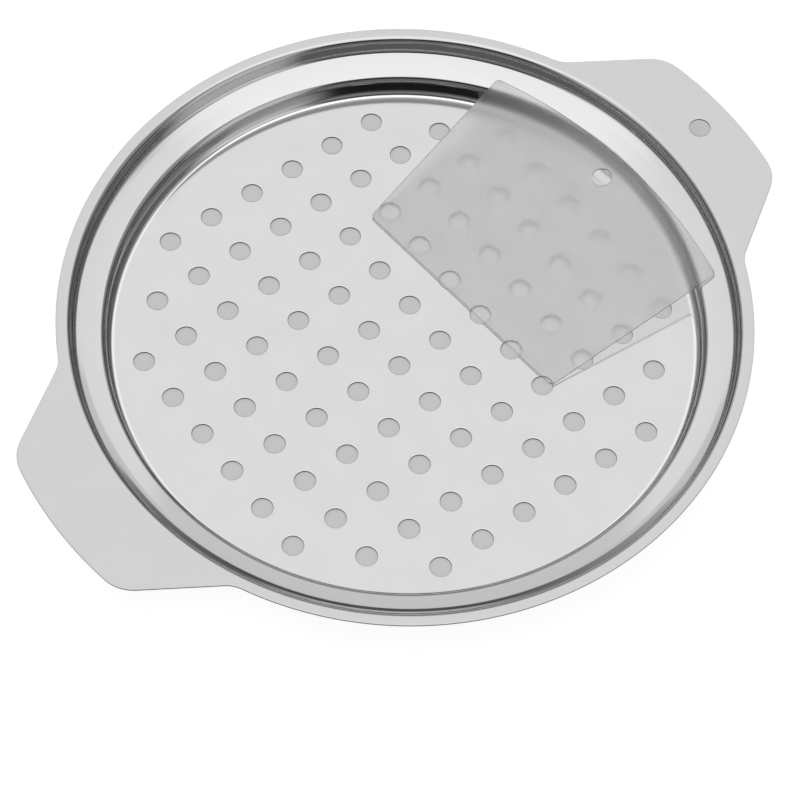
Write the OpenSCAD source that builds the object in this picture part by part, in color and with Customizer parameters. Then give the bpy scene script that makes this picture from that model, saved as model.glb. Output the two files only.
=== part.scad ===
// Spaetzle maker: a perforated steel plate that sits on a pot, and the loose scraper that
// pushes batter through its holes. Millimetres, +Z up. The origin is the middle of the
// floor's underside, and +X points to the handle that has the hanging hole.

/* [Plate] */
// Thickness of the steel sheet
sheet = 0.7; // [0.5:0.1:1.5]
// Outer diameter of the round rim
rim_d = 250; // [200:1:320]
// Width of the flat rim outside the outer wall
rim_w = 5.5; // [4:0.1:12]

/* [Pressed steps] */
// Height of the inner wall, from the floor to the ledge's lip
inner_wall_h = 8.4; // [5:0.1:14]
// Slope of the inner wall, in degrees from level
inner_wall_slope = 87; // [60:1:89]
// Width of the ledge's inner part, which starts at the lip
ledge_w = 7.5; // [5:0.1:14]
// Slope of the ledge's inner part, in degrees from level
ledge_slope = 11; // [3:1:15]
// Width of the ledge's outer part, which ends at the outer wall
ledge_edge_w = 4.1; // [3:0.1:8]
// Slope of the ledge's outer part, in degrees from level
ledge_edge_slope = 16; // [16:1:30]
// Height of the outer wall, from the ledge to the rim
outer_wall_h = 6.1; // [5:0.1:14]
// Slope of the outer wall, in degrees from level
outer_wall_slope = 88; // [60:1:89]
// Inside radius of the bend at the foot of the inner wall
floor_bend = 2; // [0.8:0.1:3]
// Inside radius of the bend over the ledge's lip
lip_bend = 2.1; // [0.8:0.1:3]
// Inside radius of the bend at the foot of the outer wall
ledge_bend = 1.9; // [0.8:0.1:2.5]
// Inside radius of the bend at the rim
rim_bend = 1.8; // [0.8:0.1:2.5]

/* [Holes] */
// Diameter of the holes in the floor
hole_d = 8; // [4:0.1:12]
// Distance between the middles of neighbouring holes
hole_pitch = 18.4; // [14:0.1:30]
// Least land between a hole and the foot of the inner wall
hole_margin = 5; // [2:0.5:12]

/* [Handles] */
// How far a handle's end stands out from the rim
handle_reach = 24.5; // [18:0.5:45]
// Half the handle's width where its straight flanks would meet the end arc
handle_half_w = 32.5; // [25:0.1:45]
// Angle at which the flanks draw in towards the end
handle_flare = 32.6; // [20:0.1:45]
// Radius of the handle's outer corners
handle_corner_r = 14.5; // [4:0.5:20]
// Radius of the blend from the rim into the handle
handle_root_r = 12; // [4:0.5:20]
// Diameter of the hanging hole
hang_hole_d = 8; // [4:0.1:14]
// Distance from the hanging hole's middle to the handle's end
hang_hole_inset = 13; // [8:0.5:20]

/* [Scraper] */
// Thickness of the plastic sheet
scraper_t = 0.8; // [0.6:0.1:3]
// Width of the straight scraping edge
scraper_edge_w = 97; // [60:1:120]
// Width between the corners of the arched edge
scraper_back_w = 116; // [70:1:130]
// Length from the scraping edge to the corners of the arched edge
scraper_len = 73.5; // [50:0.5:100]
// Rise of the arched edge over its corners
scraper_arch = 9; // [3:0.5:15]
// Radius of the four corners
scraper_corner_r = 2; // [1:0.5:6]
// Diameter of the scraper's hanging hole
scraper_hole_d = 7.2; // [4:0.1:10]
// Distance from the scraper hole's middle to the top of the arch
scraper_hole_inset = 10.5; // [6:0.1:20]
// How far the scraper is turned on the floor
scraper_turn = 5.7; // [0:0.1:20]
// How far up the ledge its lower corner lies
scraper_on_ledge = 7.4; // [3:0.1:7.5]
// Gap between the resting scraper and the plate
rest_gap = 0.3; // [0.1:0.1:1]

/* [Hidden] */
$fn = 128;
cut = 1; // how far cutting tools run past a face
bend_steps = 6; // facets in a bend of the section
dish_bend = 10; // inside radius where the ledge's two parts meet
arc_steps = 16; // facets in a long arc of an outline
corner_steps = 6; // facets in a small corner of an outline

// The section's corners, on the sheet's upper face and measured from the floor's upper face
rim_r = rim_d / 2;
rim_corner_r = rim_r - rim_w;
ledge_corner_r = rim_corner_r - outer_wall_h / tan(outer_wall_slope);
ledge_mid_r = ledge_corner_r - ledge_edge_w;
lip_r = ledge_mid_r - ledge_w;
floor_r = lip_r - inner_wall_h / tan(inner_wall_slope);
ledge_mid_z = inner_wall_h + ledge_w * tan(ledge_slope);
ledge_corner_z = ledge_mid_z + ledge_edge_w * tan(ledge_edge_slope);
rim_z = ledge_corner_z + outer_wall_h;

// The handle's outline
handle_end_r = rim_r + handle_reach;
flank_x = sqrt(pow(handle_end_r, 2) - pow(handle_half_w, 2));
flank = polar(1, -handle_flare);
flank_out = polar(1, 90 - handle_flare);
flank_off = [flank_x, handle_half_w] * flank_out;
// A corner circle inside the end arc and the flank, and a root circle outside flank and rim
handle_corner = tangent_circle(flank_off - handle_corner_r, handle_end_r - handle_corner_r);
handle_root = tangent_circle(flank_off + handle_root_r, rim_r + handle_root_r);
handle_inner_r = rim_r - rim_w / 3; // the handle laps this far into the flat rim
hang_hole_x = handle_end_r - hang_hole_inset;

// The scraper's outline and its place
arch_r = (pow(scraper_back_w / 2, 2) + pow(scraper_arch, 2)) / (2 * scraper_arch);
corner_seat_r = lip_r + scraper_on_ledge;
corner_seat_z = inner_wall_h + scraper_on_ledge * tan(ledge_slope);
scraper_tilt = asin(corner_seat_z / scraper_len);
lower_corner = turned([scraper_len * cos(scraper_tilt), -scraper_back_w / 2], scraper_turn);
scraper_x = sqrt(pow(corner_seat_r, 2) - pow(lower_corner.y, 2)) - lower_corner.x;

function polar(r, a) = r * [cos(a), sin(a)];
function turned(p, a) = [p.x * cos(a) - p.y * sin(a), p.x * sin(a) + p.y * cos(a)];
function angle_of(p) = atan2(p.y, p.x);
// The middle of a circle at a distance off a flank's parallel and r from the origin
function tangent_circle(off, r) = off * flank_out + sqrt(pow(r, 2) - pow(off, 2)) * flank;
// Points of an arc, without its last point where the next arc starts there
function arc(centre, r, from, to, steps, joins_next = false) =
    [for (i = [0:steps - (joins_next ? 1 : 0)]) centre + polar(r, from + (to - from) * i / steps)];

// One bend of the sheet, as [point on the upper face, slope] pairs. The bend joins two
// straight stretches that meet at the corner. Its inside radius lies on the upper face
// where the slope grows, and on the lower face where it falls.
function bend(corner, slope_in, slope_out, inside_r) =
    let (
        rises = slope_out > slope_in,
        r = rises ? inside_r : inside_r + sheet,
        side = rises ? 1 : -1,
        half = (slope_out - slope_in) / 2,
        mid = (slope_in + slope_out) / 2,
        centre = corner + side * r / cos(half) * [-sin(mid), cos(mid)]
    )
    [for (i = [0:bend_steps])
        let (slope = slope_in + (slope_out - slope_in) * i / bend_steps)
        [centre + side * r * [sin(slope), -cos(slope)], slope]];

// The pressed section from the axis to the rim, as a closed outline of the sheet
function section() =
    let (
        path = concat(
            [[[0, 0], 0]],
            bend([floor_r, 0], 0, inner_wall_slope, floor_bend),
            bend([lip_r, inner_wall_h], inner_wall_slope, ledge_slope, lip_bend),
            bend([ledge_mid_r, ledge_mid_z], ledge_slope, ledge_edge_slope, dish_bend),
            bend([ledge_corner_r, ledge_corner_z], ledge_edge_slope, outer_wall_slope, ledge_bend),
            bend([rim_corner_r, rim_z], outer_wall_slope, 0, rim_bend),
            [[[rim_r, rim_z], 0]]
        ),
        upper = [for (p = path) p[0] + [0, sheet]],
        lower = [for (p = path) p[0] + [0, sheet] + sheet * [sin(p[1]), -cos(p[1])]]
    )
    concat(upper, [for (i = [len(lower) - 1:-1:0]) lower[i]]);

// Half of a handle's outline, from the middle of its end round to the rim on the +Y side
function handle_half() = concat(
    arc([0, 0], handle_end_r, 0, angle_of(handle_corner), arc_steps, joins_next = true),
    arc(handle_corner, handle_corner_r, angle_of(handle_corner), 90 - handle_flare, arc_steps),
    arc(handle_root, handle_root_r, 270 - handle_flare, 180 + angle_of(handle_root), arc_steps)
);

// An outline's half on the +Y side, which starts on the X axis, with its mirrored half
function both_halves(half) = concat([for (i = [len(half) - 1:-1:1]) [half[i].x, -half[i].y]], half);

module handle() {
    root_a = angle_of(handle_root);
    translate([0, 0, rim_z])
        linear_extrude(sheet)
            polygon(concat(
                both_halves(handle_half()),
                arc([0, 0], handle_inner_r, root_a, -root_a, arc_steps)
            ));
}

// The floor's holes: a square grid, half a pitch off the axes, as far out as the land allows
module floor_holes() {
    reach = floor_r - hole_margin - hole_d / 2;
    steps = floor(reach / hole_pitch);
    for (i = [-steps - 1:steps], j = [-steps - 1:steps]) {
        place = hole_pitch * [i + 0.5, j + 0.5];
        if (norm(place) < reach)
            translate([place.x, place.y, -cut])
                cylinder(d = hole_d, h = sheet + 2 * cut);
    }
}

module strainer_plate() {
    color("silver")
        difference() {
            union() {
                rotate_extrude()
                    polygon(section());
                handle();
                mirror([1, 0, 0])
                    handle();
            }
            floor_holes();
            translate([hang_hole_x, 0, rim_z - cut])
                cylinder(d = hang_hole_d, h = sheet + 2 * cut);
        }
}

// The scraper lying flat: scraping edge on the Y axis, arched edge towards +X
module scraper_sheet() {
    r = scraper_corner_r;
    lean = atan2((scraper_back_w - scraper_edge_w) / 2, scraper_len);
    // middles of the corner circles, tangent to the sides that meet there
    edge_y = scraper_edge_w / 2 - r * (1 - sin(lean)) / cos(lean);
    side_c = scraper_edge_w / 2 * cos(lean) - r;
    arch_x = scraper_len + scraper_arch - arch_r;
    along = sqrt(pow(arch_r - r, 2) - pow(side_c + arch_x * sin(lean), 2)) + arch_x * cos(lean);
    back = [along * cos(lean) - side_c * sin(lean), along * sin(lean) + side_c * cos(lean)];
    back_a = angle_of(back - [arch_x, 0]);
    half = concat(
        arc([arch_x, 0], arch_r, 0, back_a, arc_steps, joins_next = true),
        arc(back, r, back_a, 90 + lean, corner_steps),
        arc([r, edge_y], r, 90 + lean, 180, corner_steps)
    );
    difference() {
        linear_extrude(scraper_t)
            polygon(both_halves(half));
        translate([scraper_len + scraper_arch - scraper_hole_inset, 0, -cut])
            cylinder(d = scraper_hole_d, h = scraper_t + 2 * cut);
    }
}

module scraper() {
    color("gainsboro")
        translate([scraper_x, 0, sheet + rest_gap])
            rotate([0, 0, scraper_turn])
                rotate([0, -scraper_tilt, 0])
                    scraper_sheet();
}

strainer_plate();
scraper();
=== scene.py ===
from math import asin, atan2, cos, hypot, pi, radians, sin, sqrt, tan

import bmesh
import bpy
from mathutils import Matrix, Vector


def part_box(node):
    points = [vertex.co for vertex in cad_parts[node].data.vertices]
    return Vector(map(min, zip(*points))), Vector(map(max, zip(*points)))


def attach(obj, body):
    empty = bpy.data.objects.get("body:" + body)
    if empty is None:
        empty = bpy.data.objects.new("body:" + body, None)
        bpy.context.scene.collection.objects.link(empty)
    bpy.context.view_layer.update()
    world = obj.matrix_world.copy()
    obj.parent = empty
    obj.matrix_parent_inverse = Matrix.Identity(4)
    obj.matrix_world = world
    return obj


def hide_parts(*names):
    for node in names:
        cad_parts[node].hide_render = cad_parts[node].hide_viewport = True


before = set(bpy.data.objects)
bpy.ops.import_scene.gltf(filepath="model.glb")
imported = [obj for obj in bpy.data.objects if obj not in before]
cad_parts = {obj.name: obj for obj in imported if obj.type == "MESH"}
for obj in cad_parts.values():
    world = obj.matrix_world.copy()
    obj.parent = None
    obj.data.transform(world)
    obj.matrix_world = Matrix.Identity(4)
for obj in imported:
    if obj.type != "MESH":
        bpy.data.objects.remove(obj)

mm = 0.001
weld = 1e-6                  # metres; vertices closer together than this are merged
onCircle = 1e-5              # metres; a vertex this close to a circle lies on it
cutAngle = radians(50)       # only the sheets' cut edges are sharper than this
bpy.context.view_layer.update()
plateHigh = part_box("strainer_plate")[1]


def hexColour(code):
    # sRGB hex to the linear colour that the shaders read
    parts = [int(code[i:i + 2], 16) / 255 for i in (1, 3, 5)]
    return [p / 12.92 if p <= 0.04045 else ((p + 0.055) / 1.055) ** 2.4 for p in parts] + [1]


def addNode(tree, kind, settings=None, links=None):
    # settings: attributes, or sockets by name or number; links: socket to the output that feeds it
    node = tree.nodes.new(kind)
    for name, value in (settings or {}).items():
        if isinstance(name, int) or name in node.inputs:
            node.inputs[name].default_value = value
        else:
            setattr(node, name, value)
    for name, source in (links or {}).items():
        tree.links.new(source, node.inputs[name])
    return node


def newMaterial(name):
    material = bpy.data.materials.new(name)
    material.use_nodes = True
    material.node_tree.nodes.clear()
    return material, material.node_tree


def addArc(bm, centre, radius, start, end, steps):
    # a chain of edges round centre, made by turning one vertex; returns its first and last vertex
    first = bm.verts.new((centre[0] + radius * cos(start), centre[1] + radius * sin(start), 0))
    turned = bmesh.ops.spin(bm, geom=[first], cent=(centre[0], centre[1], 0), axis=(0, 0, 1),
                            angle=end - start, steps=steps, use_merge=False)
    return first, turned["geom_last"][0]


def edgesAt(verts):
    # the edges at these vertices, each once and in the same order every run
    return list(dict.fromkeys(edge for vert in verts for edge in vert.link_edges))


def roundCorner(bm, vert, radius, segments):
    # rounds the corner of a chain of edges to this radius
    a, b = [edge.other_vert(vert).co - vert.co for edge in vert.link_edges]
    reach = radius * tan((pi - a.angle(b)) / 2)
    bmesh.ops.bevel(bm, geom=[vert], offset=reach, offset_type="OFFSET", segments=segments,
                    profile=0.5, affect="VERTICES", material=-1)


def mirrorOutline(bm, axes):
    # completes an outline by mirroring it along one axis after the other
    for axis in axes:
        bmesh.ops.mirror(bm, geom=bm.verts[:] + bm.edges[:], matrix=Matrix(), merge_dist=weld,
                         axis=axis)
    bmesh.ops.remove_doubles(bm, verts=bm.verts, dist=weld)


def addEdgeBand(bm, width):
    # a narrow band of faces inside a closed outline; returns the edges of its inner side
    face = bmesh.ops.contextual_create(bm, geom=bm.edges[:])["faces"]
    bmesh.ops.inset_region(bm, faces=face, thickness=width, use_even_offset=True)
    inner = list(face[0].edges)
    bmesh.ops.delete(bm, geom=face, context="FACES_ONLY")
    return inner


def addHoleRing(bm, centre, radius, land, segments, z):
    # a flat ring of faces round a hole; returns the edges of its outer circle
    place = Matrix.Translation((centre[0], centre[1], z))
    made = bmesh.ops.create_circle(bm, cap_ends=False, segments=segments, radius=radius + land,
                                   matrix=place)
    outer = edgesAt(made["verts"])
    inner = bmesh.ops.extrude_edge_only(bm, edges=outer)["geom"]
    shrink = radius / (radius + land)
    bmesh.ops.scale(bm, vec=(shrink, shrink, 1), space=place.inverted(),
                    verts=[item for item in inner if isinstance(item, bmesh.types.BMVert)])
    return outer


def fillFlat(bm, loops):
    # fills a flat area between its outer edges and those of its holes
    bmesh.ops.triangle_fill(bm, use_beauty=True, use_dissolve=False, edges=loops,
                            normal=(0, 0, 1))


def faceUp(bm):
    bmesh.ops.remove_doubles(bm, verts=bm.verts, dist=weld)
    bmesh.ops.recalc_face_normals(bm, faces=bm.faces)
    flat = max(bm.faces, key=lambda face: face.calc_area())
    if flat.normal.z < 0:
        bmesh.ops.reverse_faces(bm, faces=bm.faces)


def finishSheet(bm, name, body, node, material, thickness, edgeRound):
    # makes the piece, gives it its thickness downwards and rounds its cut edges
    mesh = bpy.data.meshes.new(name)
    bm.to_mesh(mesh)
    bm.free()
    mesh.shade_smooth()
    mesh.materials.append(material)
    piece = bpy.data.objects.new(name, mesh)
    bpy.context.scene.collection.objects.link(piece)
    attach(piece, body)
    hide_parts(node)
    sheet = piece.modifiers.new("sheet", "SOLIDIFY")
    sheet.thickness = thickness
    sheet.offset = -1
    sheet.use_even_offset = True
    edge = piece.modifiers.new("cutEdges", "BEVEL")
    edge.width = edgeRound
    edge.segments = 2
    edge.limit_method = "ANGLE"
    edge.angle_limit = cutAngle
    edge.use_clamp_overlap = False
    piece.modifiers.new("flatsFirst", "WEIGHTED_NORMAL")
    print(name, len(mesh.polygons), "faces")


plateSizes = {  # millimetres, and degrees for slopes; heights run from the floor's upper face
    "sheet": 0.7,
    "rimWidth": 5.5,
    "innerWallHeight": 8.4, "innerWallSlope": 87,
    "ledgeWidth": 7.9, "ledgeSlope": 11,
    "ledgeEdgeWidth": 3.7, "ledgeEdgeSlope": 16,
    "outerWallHeight": 6.136, "outerWallSlope": 88,
    "floorBend": 2, "lipBend": 2.8, "dishBend": 20, "ledgeBend": 1.9, "rimBend": 2.5,
    "holeDiameter": 8, "holePitch": 18.4, "holeMargin": 5,
    "handleHalfWidth": 32.5, "handleFlare": 32.6, "handleCorner": 14.5, "handleRoot": 12,
    "hangHoleDiameter": 8, "hangHoleInset": 13,
    "edgeRound": 0.15,       # the holes' diameters are measured over their rounded edges
    "land": 0.5,             # flat faces kept round each hole and along the rim's edge
    "floorFlat": 3, "rimFlat": 3.2,  # how far the turned rings run into the floor and the rim
    "spinSteps": 288, "bendSteps": 8, "holeSteps": 32,
    "handleEndSteps": 12, "handleCornerSteps": 14, "rimSteps": 44,
}


def sectionCorners(s):
    # radius and height of the bends, worked out from the rim inwards and listed from the floor
    rim = plateHigh.y / mm - s["rimWidth"]
    ledge = rim - s["outerWallHeight"] / tan(radians(s["outerWallSlope"]))
    dish = ledge - s["ledgeEdgeWidth"]
    lip = dish - s["ledgeWidth"]
    floor = lip - s["innerWallHeight"] / tan(radians(s["innerWallSlope"]))
    dishHeight = s["innerWallHeight"] + s["ledgeWidth"] * tan(radians(s["ledgeSlope"]))
    ledgeHeight = dishHeight + s["ledgeEdgeWidth"] * tan(radians(s["ledgeEdgeSlope"]))
    rimHeight = ledgeHeight + s["outerWallHeight"]
    return [(floor, 0), (lip, s["innerWallHeight"]), (dish, dishHeight), (ledge, ledgeHeight),
            (rim, rimHeight)]


def addSection(bm, s, corners, inner, outer):
    # the pressed rings: a chain of straight stretches, rounded at its bends and turned once round
    chain = [(inner, 0)] + corners + [(outer, corners[-1][1])]
    verts = [bm.verts.new((r * mm, 0, (z + s["sheet"]) * mm)) for r, z in chain]
    for pair in zip(verts, verts[1:]):
        bm.edges.new(pair)
    before = set(bm.verts) - set(verts)
    bends = [s["floorBend"], s["lipBend"], s["dishBend"], s["ledgeBend"], s["rimBend"]]
    for vert, bend in zip(verts[1:-1], bends):
        roundCorner(bm, vert, bend * mm, s["bendSteps"])
    profile = [v for v in bm.verts if v not in before]
    bmesh.ops.spin(bm, geom=profile + edgesAt(profile), cent=(0, 0, 0), axis=(0, 0, 1),
                   angle=2 * pi, steps=s["spinSteps"], use_merge=True)


def circleEdges(bm, radius, z):
    # the open edges that lie on a circle round the axis
    def on(vert):
        across, up = hypot(vert.co.x, vert.co.y) - radius, vert.co.z - z
        return abs(across) < onCircle and abs(up) < onCircle
    return [e for e in bm.edges if len(e.link_faces) == 1 and all(on(v) for v in e.verts)]


def addOutline(bm, s, z):
    # half a handle and the rim next to it, mirrored twice; then a narrow band along the edge
    rim = plateHigh.y
    end = plateHigh.x
    flare = radians(s["handleFlare"])
    corner, root = s["handleCorner"] * mm, s["handleRoot"] * mm
    along = Vector((cos(flare), -sin(flare)))
    out = Vector((sin(flare), cos(flare)))
    half = s["handleHalfWidth"] * mm
    flank = Vector((sqrt(end ** 2 - half ** 2), half)).dot(out)

    def tangentCircle(off, reach):
        return out * off + along * sqrt(reach ** 2 - off ** 2)

    cornerAt = tangentCircle(flank - corner, end - corner)
    rootAt = tangentCircle(flank + root, rim + root)
    cornerAngle, rootAngle = atan2(cornerAt.y, cornerAt.x), atan2(rootAt.y, rootAt.x)
    steps = s["handleCornerSteps"]
    addArc(bm, (0, 0), end, 0, cornerAngle, s["handleEndSteps"])
    cornerEnd = addArc(bm, cornerAt, corner, cornerAngle, pi / 2 - flare, steps)[1]
    rootStart = addArc(bm, rootAt, root, 3 * pi / 2 - flare, pi + rootAngle, steps)[0]
    bm.edges.new((cornerEnd, rootStart))
    addArc(bm, (0, 0), rim, rootAngle, pi / 2, s["rimSteps"])
    mirrorOutline(bm, "YX")
    bmesh.ops.translate(bm, vec=(0, 0, z), verts=bm.verts)
    return addEdgeBand(bm, s["land"] * mm)


def buildPlate(material):
    s = plateSizes
    bm = bmesh.new()
    corners = sectionCorners(s)
    land, holeSteps = s["land"] * mm, s["holeSteps"]
    floorZ = s["sheet"] * mm
    rimZ = (corners[-1][1] + s["sheet"]) * mm
    rimLoops = addOutline(bm, s, rimZ)
    floorFill = corners[0][0] - s["floorFlat"]
    rimFill = corners[-1][0] + s["rimFlat"]
    addSection(bm, s, corners, floorFill, rimFill)
    floorLoops = circleEdges(bm, floorFill * mm, floorZ)
    rimLoops += circleEdges(bm, rimFill * mm, rimZ)
    # the holes: a square grid, half a pitch off the axes, as far out as the margin allows
    hole = s["holeDiameter"] / 2
    reach = corners[0][0] - s["holeMargin"] - hole
    steps = int(reach // s["holePitch"])
    holes = 0
    for i in range(-steps - 1, steps + 1):
        for j in range(-steps - 1, steps + 1):
            place = Vector(((i + 0.5) * s["holePitch"], (j + 0.5) * s["holePitch"]))
            if place.length < reach:
                floorLoops += addHoleRing(bm, place * mm, (hole - s["edgeRound"]) * mm, land,
                                          holeSteps, floorZ)
                holes += 1
    hang = Vector((plateHigh.x - s["hangHoleInset"] * mm, 0))
    hangHole = s["hangHoleDiameter"] / 2 - s["edgeRound"]
    rimLoops += addHoleRing(bm, hang, hangHole * mm, land, holeSteps, rimZ)
    fillFlat(bm, floorLoops)
    fillFlat(bm, rimLoops)
    faceUp(bm)
    print("plate:", holes, "holes")
    finishSheet(bm, "pressed_plate", "plate", "strainer_plate", material,
                s["sheet"] * mm, s["edgeRound"] * mm)


scraperSizes = {  # millimetres and degrees
    "thickness": 0.8, "edgeWidth": 97, "backWidth": 116, "length": 73.5, "arch": 9, "corner": 2,
    "holeDiameter": 7.2, "holeInset": 10.5,
    "turn": 5.7, "onLedge": 7.4, "restGap": 0.3,
    "edgeRound": 0.2, "land": 0.8,
    "archSteps": 20, "cornerSteps": 7, "holeSteps": 32,
}


def scraperPlace(s):
    # its far lower corner lies on the ledge, and its scraping edge on the floor
    lip = sectionCorners(plateSizes)[1]
    seatRadius = lip[0] + s["onLedge"]
    seatHeight = lip[1] + s["onLedge"] * tan(radians(plateSizes["ledgeSlope"]))
    tilt = asin(seatHeight / s["length"])
    turn = Matrix.Rotation(radians(s["turn"]), 4, "Z")
    lower = turn @ Vector((s["length"] * cos(tilt), -s["backWidth"] / 2, 0))
    x = sqrt(seatRadius ** 2 - lower.y ** 2) - lower.x
    place = Matrix.Translation(Vector((x, 0, plateSizes["sheet"] + s["restGap"])) * mm)
    return place @ turn @ Matrix.Rotation(-tilt, 4, "Y")


def buildScraper(material):
    # lying flat, its scraping edge is on the Y axis and its arched edge towards +X
    s = scraperSizes
    bm = bmesh.new()
    radius, steps = s["corner"] * mm, s["cornerSteps"]
    halfEdge, halfBack = s["edgeWidth"] / 2 * mm, s["backWidth"] / 2 * mm
    length, arch = s["length"] * mm, s["arch"] * mm
    lean = atan2(halfBack - halfEdge, length)
    archRadius = (halfBack ** 2 + arch ** 2) / (2 * arch)
    archX = length + arch - archRadius
    # middles of the corner circles, tangent to the edges that meet there
    edgeY = halfEdge - radius * (1 - sin(lean)) / cos(lean)
    side = halfEdge * cos(lean) - radius
    reach = (sqrt((archRadius - radius) ** 2 - (side + archX * sin(lean)) ** 2)
             + archX * cos(lean))
    back = Vector((reach * cos(lean) - side * sin(lean), reach * sin(lean) + side * cos(lean)))
    backAngle = atan2(back.y, back.x - archX)
    addArc(bm, (archX, 0), archRadius, 0, backAngle, s["archSteps"])
    backEnd = addArc(bm, back, radius, backAngle, pi / 2 + lean, steps)[1]
    frontStart = addArc(bm, (radius, edgeY), radius, pi / 2 + lean, pi, steps)[0]
    bm.edges.new((backEnd, frontStart))
    mirrorOutline(bm, "Y")
    front = [v for v in bm.verts if len(v.link_edges) == 1]
    bm.edges.new(front)
    loops = addEdgeBand(bm, s["land"] * mm)
    hole = (length + arch - s["holeInset"] * mm, 0)
    loops += addHoleRing(bm, hole, s["holeDiameter"] / 2 * mm, s["land"] * mm, s["holeSteps"], 0)
    fillFlat(bm, loops)
    bmesh.ops.translate(bm, vec=(0, 0, s["thickness"] * mm), verts=bm.verts)
    faceUp(bm)
    bmesh.ops.transform(bm, matrix=scraperPlace(s), verts=bm.verts)
    finishSheet(bm, "frosted_scraper", "scraper", "scraper", material,
                s["thickness"] * mm, s["edgeRound"] * mm)


# In the materials a Mix node's sockets go by number: 0 is its factor, 2 and 3 are its values,
# 6 and 7 its colours, and its outputs are 0 for a value and 2 for a colour

def ringCoordinates(tree, around, across):
    # a pattern place that runs round the axis: slow along the circle, fast across the section
    coordinates = addNode(tree, "ShaderNodeTexCoord")
    place, normal = coordinates.outputs["Object"], coordinates.outputs["Normal"]
    flat = addNode(tree, "ShaderNodeVectorMath", {"operation": "MULTIPLY", 1: (1, 1, 0)},
                   {0: place})
    radius = addNode(tree, "ShaderNodeVectorMath", {"operation": "LENGTH"}, {0: flat.outputs[0]})
    way = addNode(tree, "ShaderNodeVectorMath", {"operation": "NORMALIZE"}, {0: flat.outputs[0]})
    wide = addNode(tree, "ShaderNodeVectorMath", {"operation": "SCALE", "Scale": around},
                   {0: way.outputs[0]})
    height = addNode(tree, "ShaderNodeSeparateXYZ", links={"Vector": place})
    run = addNode(tree, "ShaderNodeMath", {"operation": "ADD"},
                  {0: radius.outputs["Value"], 1: height.outputs["Z"]})
    fast = addNode(tree, "ShaderNodeMath", {"operation": "MULTIPLY", 1: across},
                   {0: run.outputs[0]})
    split = addNode(tree, "ShaderNodeSeparateXYZ", links={"Vector": wide.outputs[0]})
    ring = addNode(tree, "ShaderNodeCombineXYZ",
                   links={"X": split.outputs["X"], "Y": split.outputs["Y"], "Z": fast.outputs[0]})
    return place, normal, radius.outputs["Value"], ring.outputs[0]


# upward part of a face's normal: above the first the face is flat, below the second it is upright
uprightLimits = (0.95, 0.6)


def bandMask(tree, value, start, end, fade):
    # 1 where the value lies between start and end, fading at both sides
    off = addNode(tree, "ShaderNodeMath", {"operation": "SUBTRACT", 1: (start + end) / 2},
                  {0: value})
    away = addNode(tree, "ShaderNodeMath", {"operation": "ABSOLUTE"}, {0: off.outputs[0]})
    half = (end - start) / 2
    mask = addNode(tree, "ShaderNodeMapRange",
                   {"interpolation_type": "SMOOTHSTEP", "From Min": half + fade / 2,
                    "From Max": half - fade / 2},
                   {"Value": away.outputs[0]})
    return mask.outputs["Result"]


def uprightMask(tree, normal):
    # 1 on faces that stand upright, such as the cut edges of a sheet
    facing = addNode(tree, "ShaderNodeSeparateXYZ", links={"Vector": normal})
    level = addNode(tree, "ShaderNodeMath", {"operation": "ABSOLUTE"}, {0: facing.outputs["Z"]})
    mask = addNode(tree, "ShaderNodeMapRange",
                   {"interpolation_type": "SMOOTHSTEP", "From Min": uprightLimits[0],
                    "From Max": uprightLimits[1]},
                   {"Value": level.outputs[0]})
    return mask.outputs["Result"]


# Stainless steel sheet, cold rolled, pressed and left bare: a bright, slightly soft mirror, with
# faint cloudy patches on the flats and fine lines round the drawn walls; painted highlights and a
# painted dark reflection lie round its bends, and painted shade on its cut edges
polishedSheet = {
    "floorColour": "#E4E4E4", "rimColour": "#D8D8D8",
    "toneChange": (106 * mm, 124 * mm),  # radius where the floor's tone gives way to the rim's
    "roughness": (0.115, 0.135),     # on the flats, from one cloud to the next
    "drawnRoughness": 0.07,          # the press polishes what it draws
    "cloud": 16 * mm,                # width of the cloudy patches
    "cloudColour": "#DCDCDD", "cloudShare": 0.35,
    "cloudLimits": (0.35, 0.65),     # noise values between a clear place and the middle of a cloud
    "drawLine": 0.55 * mm,           # spacing of the lines that the press leaves; coarser than real
    "drawLength": 55 * mm,           # length of one such line at the wall
    "wallRadius": 110 * mm,
    "drawDepth": 0.0005 * mm,
    "drawn": (105.2 * mm, 121 * mm),  # radius where the drawn steps start and end
    "drawnFade": 2 * mm,
    # painted highlights in the sheet's two inside bends, and a painted dark reflection on the wall
    # between lip and floor: radius where each ring starts and ends, colour
    "rings": [(105.1 * mm, 107.4 * mm, "#F8F8F8"), (118.2 * mm, 119.5 * mm, "#EAEAEA"),
              (107.35 * mm, 107.85 * mm, "#BCBCBC")],
    "ringFade": 0.5 * mm,
    # the sheared edges of the sheet and its holes are rougher than its faces, and their dark colour
    # is painted shade
    "shearShadeColour": "#58585A", "shearRoughness": 0.35,
}


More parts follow.
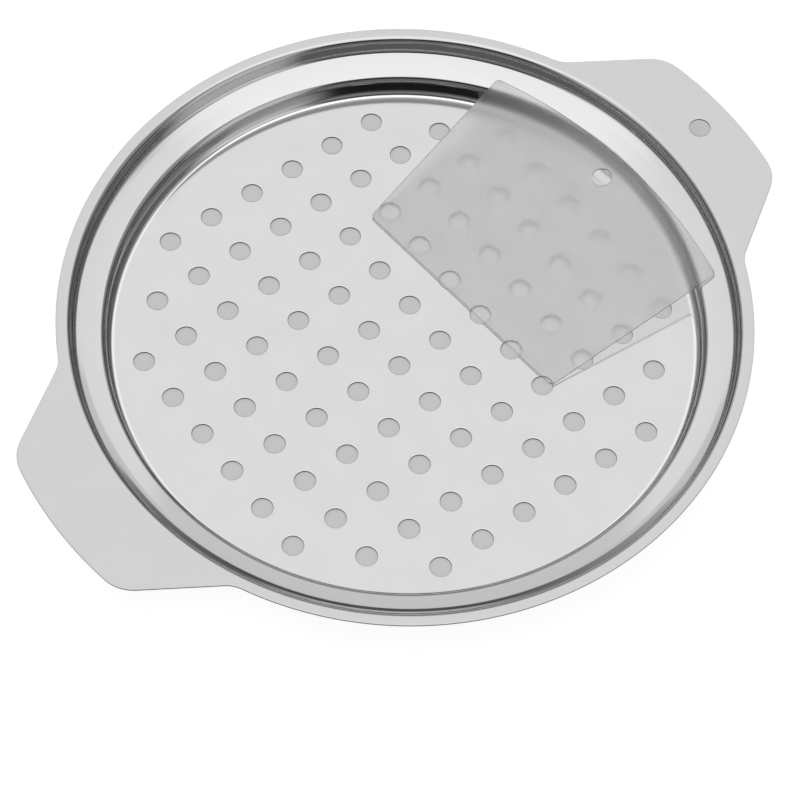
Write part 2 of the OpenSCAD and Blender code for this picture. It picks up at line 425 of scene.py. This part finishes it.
def pressedSteel():
    s = polishedSheet
    material, tree = newMaterial("polishedStainlessSheet")
    place, normal, radius, ring = ringCoordinates(tree, s["wallRadius"] / s["drawLength"],
                                                  1 / s["drawLine"])
    clouds = addNode(tree, "ShaderNodeTexNoise",
                     {"Scale": 1 / s["cloud"], "Detail": 3, "Roughness": 0.55},
                     {"Vector": place})
    lines = addNode(tree, "ShaderNodeTexNoise", {"Scale": 1, "Detail": 1, "Roughness": 0.5},
                    {"Vector": ring})
    drawn = bandMask(tree, radius, *s["drawn"], s["drawnFade"])
    # the floor's tone passes over into the rim's, under faint clouds
    outward = addNode(tree, "ShaderNodeMapRange",
                      {"From Min": s["toneChange"][0], "From Max": s["toneChange"][1]},
                      {"Value": radius})
    spread = addNode(tree, "ShaderNodeMapRange",
                     {"From Min": s["cloudLimits"][0], "From Max": s["cloudLimits"][1]},
                     {"Value": clouds.outputs["Fac"]})
    faint = addNode(tree, "ShaderNodeMath", {"operation": "MULTIPLY", 1: s["cloudShare"]},
                    {0: spread.outputs["Result"]})
    tone = addNode(tree, "ShaderNodeMix",
                   {"data_type": "RGBA", 6: hexColour(s["floorColour"]),
                    7: hexColour(s["rimColour"])},
                   {0: outward.outputs["Result"]})
    layers = [(faint.outputs[0], s["cloudColour"])]
    # painted highlights in the inside bends and a painted dark reflection on the inner wall, as
    # rings of colour
    for start, end, colour in s["rings"]:
        layers.append((bandMask(tree, radius, start, end, s["ringFade"]), colour))
    rough = addNode(tree, "ShaderNodeMix", {2: s["roughness"][0], 3: s["roughness"][1]},
                    {0: spread.outputs["Result"]})
    rough = addNode(tree, "ShaderNodeMix", {3: s["drawnRoughness"]},
                    {0: drawn, 2: rough.outputs[0]})
    # what stands upright outside the drawn steps is a sheared edge
    sheared = addNode(tree, "ShaderNodeMix", {3: 0.0}, {0: drawn, 2: uprightMask(tree, normal)})
    # painted shade: the sheared edges take the dark shear colour
    layers.append((sheared.outputs[0], s["shearShadeColour"]))
    rough = addNode(tree, "ShaderNodeMix", {3: s["shearRoughness"]},
                    {0: sheared.outputs[0], 2: rough.outputs[0]})
    for mask, colour in layers:
        tone = addNode(tree, "ShaderNodeMix", {"data_type": "RGBA", 7: hexColour(colour)},
                       {0: mask, 6: tone.outputs[2]})
    depth = addNode(tree, "ShaderNodeMath", {"operation": "MULTIPLY"},
                    {0: lines.outputs["Fac"], 1: drawn})
    relief = addNode(tree, "ShaderNodeBump", {"Strength": 1, "Distance": s["drawDepth"]},
                     {"Height": depth.outputs[0]})
    shader = addNode(tree, "ShaderNodeBsdfPrincipled", {"Metallic": 1},
                     {"Base Color": tone.outputs[2], "Roughness": rough.outputs[0],
                      "Normal": relief.outputs["Normal"]})
    addNode(tree, "ShaderNodeOutputMaterial", links={"Surface": shader.outputs["BSDF"]})
    return material


# Polypropylene sheet with a frosted grain on both faces: it lets most light through but scatters
# it, so what lies close behind shows and what lies further off melts away
frostedSheet = {
    "ior": 1.26,                     # less than the plastic's 1.49, matched to the sheet's paleness
    "colour": "#FCFCFC",
    "edgeColour": "#A8A8A8",         # the cut edges look darker: light leaves through them
    "roughness": (0.56, 0.62),       # from one cloud to the next
    "cloud": 14 * mm,                # width of the cloudy patches
    "cloudLimits": (0.3, 0.7),       # noise values between a clear place and the middle of a cloud
    "grain": 0.5 * mm,               # coarser than the real grain, so that it shows at all
    "grainDepth": 0.006 * mm,
}


def frostedPlastic():
    s = frostedSheet
    material, tree = newMaterial("frostedPolypropylene")
    coordinates = addNode(tree, "ShaderNodeTexCoord")
    place = coordinates.outputs["Object"]
    tone = addNode(tree, "ShaderNodeMix",
                   {"data_type": "RGBA", 6: hexColour(s["colour"]),
                    7: hexColour(s["edgeColour"])},
                   {0: uprightMask(tree, coordinates.outputs["Normal"])})
    clouds = addNode(tree, "ShaderNodeTexNoise", {"Scale": 1 / s["cloud"], "Detail": 2},
                     {"Vector": place})
    grain = addNode(tree, "ShaderNodeTexNoise", {"Scale": 1 / s["grain"], "Detail": 1},
                    {"Vector": place})
    rough = addNode(tree, "ShaderNodeMapRange",
                    {"From Min": s["cloudLimits"][0], "From Max": s["cloudLimits"][1],
                     "To Min": s["roughness"][0], "To Max": s["roughness"][1]},
                    {"Value": clouds.outputs["Fac"]})
    relief = addNode(tree, "ShaderNodeBump", {"Strength": 1, "Distance": s["grainDepth"]},
                     {"Height": grain.outputs["Fac"]})
    shader = addNode(tree, "ShaderNodeBsdfPrincipled",
                     {"IOR": s["ior"], "Transmission Weight": 1},
                     {"Base Color": tone.outputs[2], "Roughness": rough.outputs["Result"],
                      "Normal": relief.outputs["Normal"]})
    addNode(tree, "ShaderNodeOutputMaterial", links={"Surface": shader.outputs["BSDF"]})
    return material


cameraView = {  # millimetres and degrees
    "aim": (-17.61, -20.89, 0.7), "distance": 1088.5, "lens": 136.65,
    "azimuth": 39.16, "elevation": 60.09, "roll": 2.917,
}


def addCamera():
    s = cameraView
    data = bpy.data.cameras.new("camera")
    data.lens = s["lens"]
    camera = bpy.data.objects.new("camera", data)
    bpy.context.scene.collection.objects.link(camera)
    turn = (Matrix.Rotation(radians(-s["azimuth"]), 4, "Z")
            @ Matrix.Rotation(radians(90 - s["elevation"]), 4, "X")
            @ Matrix.Rotation(radians(s["roll"]), 4, "Z"))
    camera.matrix_world = (Matrix.Translation(Vector(s["aim"]) * mm) @ turn
                           @ Matrix.Translation((0, 0, s["distance"] * mm)))
    bpy.context.scene.camera = camera


# The floor is pale grey where the plate covers it, a painted shadow of the plate, and shows white
# around the object
paleFloor = {
    "halfWidth": 6000 * mm, "drop": 0.05 * mm,
    "colour": "#D8D8D8",             # for light that bounces between the floor and the object
    "seenColour": "#B4B4B4",         # for the camera, in reflections and through the plastic
    # painted shadow: the floor glows less under the plate than around it
    "glowInPaintedShadow": 0.3, "glowAround": 0.8,
    "paintedScatterGlow": 0.08,             # painted light: more of it shows through the frosted plastic, for light that the plastic scatters
    # places that the holes look down on, where the painted shadow lies: middle, and where the grey
    # ends and the white starts
    "paintedShadowSpots": [((0, 0), 100 * mm, 112 * mm), ((143.4 * mm, 8.5 * mm), 6 * mm, 9 * mm)],
}


def addFloor():
    s = paleFloor
    bm = bmesh.new()
    bmesh.ops.create_grid(bm, x_segments=1, y_segments=1, size=s["halfWidth"])
    bmesh.ops.translate(bm, vec=(0, 0, -s["drop"]), verts=bm.verts)
    mesh = bpy.data.meshes.new("floor")
    bm.to_mesh(mesh)
    bm.free()
    floor = bpy.data.objects.new("floor", mesh)
    bpy.context.scene.collection.objects.link(floor)
    material, tree = newMaterial("paleFloor")
    lit = addNode(tree, "ShaderNodeBsdfDiffuse", {"Color": hexColour(s["colour"])})
    shown = addNode(tree, "ShaderNodeBsdfDiffuse", {"Color": hexColour(s["seenColour"])})
    place = addNode(tree, "ShaderNodeTexCoord").outputs["Object"]
    path = addNode(tree, "ShaderNodeLightPath")
    glow = None
    # painted shadow of the plate: the glow drops over these places
    for middle, inner, outer in s["paintedShadowSpots"]:
        out = addNode(tree, "ShaderNodeVectorMath",
                      {"operation": "DISTANCE", 1: (*middle, -s["drop"])}, {0: place})
        around = addNode(tree, "ShaderNodeMapRange",
                         {"interpolation_type": "SMOOTHSTEP", "From Min": inner,
                          "From Max": outer, "To Min": s["glowInPaintedShadow"],
                          "To Max": s["glowAround"]},
                         {"Value": out.outputs["Value"]})
        covers = {1: around.outputs["Result"]}
        if glow:
            covers[0] = glow.outputs[0]
        glow = addNode(tree, "ShaderNodeMath", {"operation": "MINIMUM", 0: s["glowAround"]},
                       covers)
    # painted light: rays through the frosted plastic see the floor glow more
    glow = addNode(tree, "ShaderNodeMath", {"operation": "MULTIPLY_ADD", 1: s["paintedScatterGlow"]},
                   {0: path.outputs["Is Transmission Ray"], 2: glow.outputs[0]})
    white = addNode(tree, "ShaderNodeEmission", {"Color": hexColour("#FFFFFF")},
                    {"Strength": glow.outputs[0]})
    seen = path.outputs["Is Camera Ray"]
    for also in ("Is Glossy Ray", "Is Transmission Ray"):
        either = addNode(tree, "ShaderNodeMath", {"operation": "MAXIMUM"},
                         {0: seen, 1: path.outputs[also]})
        seen = either.outputs[0]
    both = addNode(tree, "ShaderNodeAddShader", links={0: shown.outputs[0], 1: white.outputs[0]})
    choice = addNode(tree, "ShaderNodeMixShader",
                     links={0: seen, 1: lit.outputs[0], 2: both.outputs[0]})
    addNode(tree, "ShaderNodeOutputMaterial", links={"Surface": choice.outputs[0]})
    mesh.materials.append(material)


# soft panels of light on the studio's dome, of which the brightest shows where they overlap:
# bearing from the camera's forward direction (right is positive), half its width and the width of
# its fading side, then its lowest and highest elevation, the height of its fading edge, brightness
studioLight = {
    "tent": (0, 180, 1, 72, 91, 20, 1.14),
    "tentLeft": (-35, 80, 15, 47, 91, 6, 0.92),
    "tentFront": (0, 40, 20, 39.5, 60, 1, 0.72),
    "forwardWall": (-8, 18, 16, -20, 8, 6, 0.72),
    "forwardWallTop": (0, 35, 20, 26, 32, 1.5, 0.6),
    "leftWash": (-75, 50, 25, 45, 75, 45, 0.5),
    "rightWash": (65, 35, 30, 45, 75, 45, 0.33),
    "backRight": (126, 8, 18, -20, 50, 10, 0.6),
    "room": (-10, 110, 20, -20, 50, 5, 0.08),
    "lowBack": (180, 60, 30, -20, 28, 20, 0.15),
}
studioDark = 0.01
allRound = (-3, -2)          # below every cosine, for a panel that goes all the way round


def addWorld():
    world = bpy.data.worlds.new("studio")
    bpy.context.scene.world = world
    world.use_nodes = True
    tree = world.node_tree
    tree.nodes.clear()
    way = addNode(tree, "ShaderNodeTexCoord").outputs["Generated"]
    level = addNode(tree, "ShaderNodeVectorMath", {"operation": "MULTIPLY", 1: (1, 1, 0)},
                    {0: way})
    along = addNode(tree, "ShaderNodeVectorMath", {"operation": "NORMALIZE"},
                    {0: level.outputs[0]})
    up = addNode(tree, "ShaderNodeSeparateXYZ", links={"Vector": way})
    rise = addNode(tree, "ShaderNodeMath", {"operation": "ARCSINE"}, {0: up.outputs["Z"]})
    elevation = addNode(tree, "ShaderNodeMath", {"operation": "DEGREES"}, {0: rise.outputs[0]})
    brightest = None
    for name, (bearing, wide, side, low, high, edge, strength) in studioLight.items():
        turn = radians(bearing + cameraView["azimuth"])
        facing = addNode(tree, "ShaderNodeVectorMath",
                         {"operation": "DOT_PRODUCT", "label": name,
                          1: (sin(turn), cos(turn), 0)},
                         {0: along.outputs[0]})
        start, full = cos(radians(min(wide + side, 180))), cos(radians(wide))
        if wide >= 180:
            start, full = allRound
        across = addNode(tree, "ShaderNodeMapRange",
                         {"interpolation_type": "SMOOTHSTEP", "From Min": start,
                          "From Max": full},
                         {"Value": facing.outputs["Value"]})
        off = addNode(tree, "ShaderNodeMath", {"operation": "SUBTRACT", 1: (low + high) / 2},
                      {0: elevation.outputs[0]})
        away = addNode(tree, "ShaderNodeMath", {"operation": "ABSOLUTE"}, {0: off.outputs[0]})
        half = (high - low) / 2
        upright = addNode(tree, "ShaderNodeMapRange",
                          {"interpolation_type": "SMOOTHSTEP", "From Min": half + edge,
                           "From Max": half, "To Min": 0, "To Max": strength},
                          {"Value": away.outputs[0]})
        panel = addNode(tree, "ShaderNodeMath", {"operation": "MULTIPLY"},
                        {0: across.outputs["Result"], 1: upright.outputs["Result"]})
        shows = {1: panel.outputs[0]}
        if brightest:
            shows[0] = brightest.outputs[0]
        brightest = addNode(tree, "ShaderNodeMath", {"operation": "MAXIMUM", 0: studioDark},
                            shows)
    # a low camera sees a white backdrop behind the object instead of the panels
    path = addNode(tree, "ShaderNodeLightPath")
    shown = addNode(tree, "ShaderNodeMath", {"operation": "MAXIMUM"},
                    {0: brightest.outputs[0], 1: path.outputs["Is Camera Ray"]})
    light = addNode(tree, "ShaderNodeBackground", {"Color": hexColour("#FFFFFF")},
                    {"Strength": shown.outputs[0]})
    addNode(tree, "ShaderNodeOutputWorld", links={"Surface": light.outputs["Background"]})


bpy.context.scene.view_settings.view_transform = "Standard"
addCamera()
addFloor()
addWorld()
print("stage ready")
buildPlate(pressedSteel())
buildScraper(frostedPlastic())
